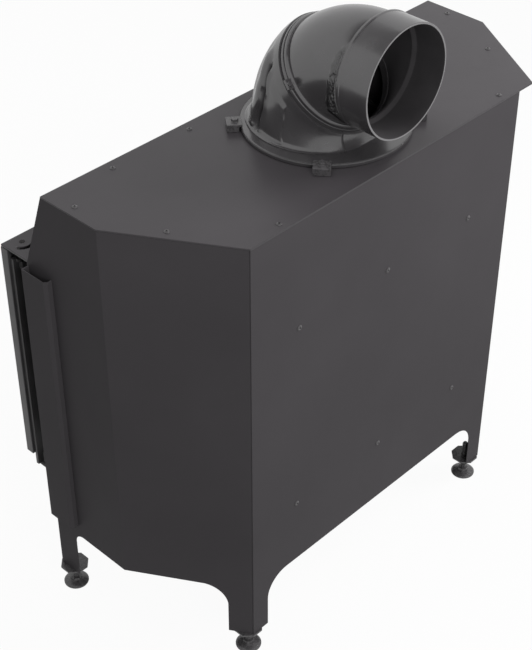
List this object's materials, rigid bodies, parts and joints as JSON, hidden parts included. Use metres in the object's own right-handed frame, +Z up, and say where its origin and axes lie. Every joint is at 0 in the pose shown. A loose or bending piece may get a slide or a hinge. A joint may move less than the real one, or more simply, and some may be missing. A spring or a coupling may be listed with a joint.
{
  "type": "fireplace insert",
  "caption": "Built-in wood fire: sheet casing on levelling feet, glazed swing door, ash drawer, air slides and a turning flue elbow.",
  "frame": {"origin": "middle of the footprint of the overall box, at floor level", "axes": "+Z up, door faces -Y, flue outlet points to +Y, door hinge on the +X side"},
  "size_m": [1.01, 0.52, 1.176],
  "materials": {
    "top_sheet": "satin",
    "casing": "satin",
    "black_steel": "satin",
    "zinc": "satin",
    "firebox_steel": "matte",
    "lining": "matte",
    "brick": "matte",
    "iron_plain": "matte",
    "iron_black": "satin",
    "iron_elbow": "satin",
    "bare_steel": "satin",
    "glass": "gloss",
    "rope": "matte"
  },
  "bodies": {
    "casing_and_firebox": {"top_plate": "top_sheet", "back_panel": "casing", "side_panel_left": "casing", "side_panel_right": "casing", "cover_strip_left": "casing", "cover_strip_right": "casing", "upper_front_panel": "casing", "hot_air_grille": "casing", "lower_front_panel": "casing", "top_screws": "black_steel", "back_screws": "black_steel", "foot_plates": "black_steel", "rear_spacers": "casing", "frame_top_plate": "top_sheet", "sealing_frame": "firebox_steel", "lower_hinge_plate": "firebox_steel", "firebox_body": "firebox_steel", "firebox_floor": "firebox_steel", "firebox_top": "firebox_steel", "flue_collar": "firebox_steel", "side_linings": "lining", "corner_linings": "lining", "lining_back": "lining", "hearth_bricks": "brick", "grate": "iron_plain", "log_guard": "iron_plain", "lower_baffle": "lining", "upper_baffle": "firebox_steel", "air_wash_duct": "firebox_steel", "ash_box": "firebox_steel", "air_box": "firebox_steel", "air_inlet": "zinc", "slide_guides": "firebox_steel", "latch_keeper": "firebox_steel", "clamp_dogs": "black_steel"},
    "door": {"door_front": "iron_black", "door_inner_frame": "iron_black", "door_glass": "glass", "glass_gasket": "rope", "door_seal": "rope", "door_screws": "bare_steel", "hinge_leaf": "bare_steel", "hinge_pins": "bare_steel"},
    "handle": {"door_handle": "bare_steel", "handle_spindle": "bare_steel", "latch_tongue": "bare_steel"},
    "ash_drawer": {"ash_tray": "bare_steel", "ash_drawer_front": "casing"},
    "slide_left": {"air_slide_left": "bare_steel"},
    "slide_right": {"air_slide_right": "bare_steel"},
    "elbow_lower_half": {"elbow_lower": "iron_elbow", "elbow_base_flange": "iron_elbow", "joint_ring_lower": "iron_elbow"},
    "elbow_upper_half": {"joint_ring_upper": "iron_elbow", "elbow_upper": "iron_elbow", "flue_spigot": "iron_elbow"},
    "front_left_foot": {"foot_front_left": "black_steel"},
    "front_right_foot": {"foot_front_right": "black_steel"},
    "rear_left_foot": {"foot_rear_left": "black_steel"},
    "rear_right_foot": {"foot_rear_right": "black_steel"}
  },
  "joints": [
    {"name": "door_hinge", "type": "hinge", "parent": "casing_and_firebox", "child": "door", "pos_m": [0.455, -0.202, 0.51], "axis": [0, 0, 1], "range_deg": [0, 95]},
    {"name": "handle_turn", "type": "hinge", "parent": "door", "child": "handle", "pos_m": [-0.458, -0.216, 0.5315], "axis": [0, 1, 0], "range_deg": [-90, 0]},
    {"name": "ash_drawer_slide", "type": "slide", "parent": "casing_and_firebox", "child": "ash_drawer", "axis": [0, -1, 0], "range_m": [0, 0.2]},
    {"name": "air_slide_left_move", "type": "slide", "parent": "casing_and_firebox", "child": "slide_left", "axis": [1, 0, 0], "range_m": [-0.03, 0.03]},
    {"name": "air_slide_right_move", "type": "slide", "parent": "casing_and_firebox", "child": "slide_right", "axis": [1, 0, 0], "range_m": [-0.03, 0.03]},
    {"name": "elbow_swivel", "type": "hinge", "parent": "casing_and_firebox", "child": "elbow_lower_half", "pos_m": [0, 0.085, 0.937], "axis": [0, 0, 1], "continuous": true},
    {"name": "elbow_turn", "type": "hinge", "parent": "elbow_lower_half", "child": "elbow_upper_half", "pos_m": [0, 0.1075, 1.042], "axis": [0, 0.7071, 0.7071], "continuous": true},
    {"name": "foot_front_left_screw", "type": "slide", "parent": "casing_and_firebox", "child": "front_left_foot", "axis": [0, 0, -1], "range_m": [-0.02, 0.025]},
    {"name": "foot_front_right_screw", "type": "slide", "parent": "casing_and_firebox", "child": "front_right_foot", "axis": [0, 0, -1], "range_m": [-0.02, 0.025]},
    {"name": "foot_rear_left_screw", "type": "slide", "parent": "casing_and_firebox", "child": "rear_left_foot", "axis": [0, 0, -1], "range_m": [-0.02, 0.025]},
    {"name": "foot_rear_right_screw", "type": "slide", "parent": "casing_and_firebox", "child": "rear_right_foot", "axis": [0, 0, -1], "range_m": [-0.02, 0.025]}
  ]
}
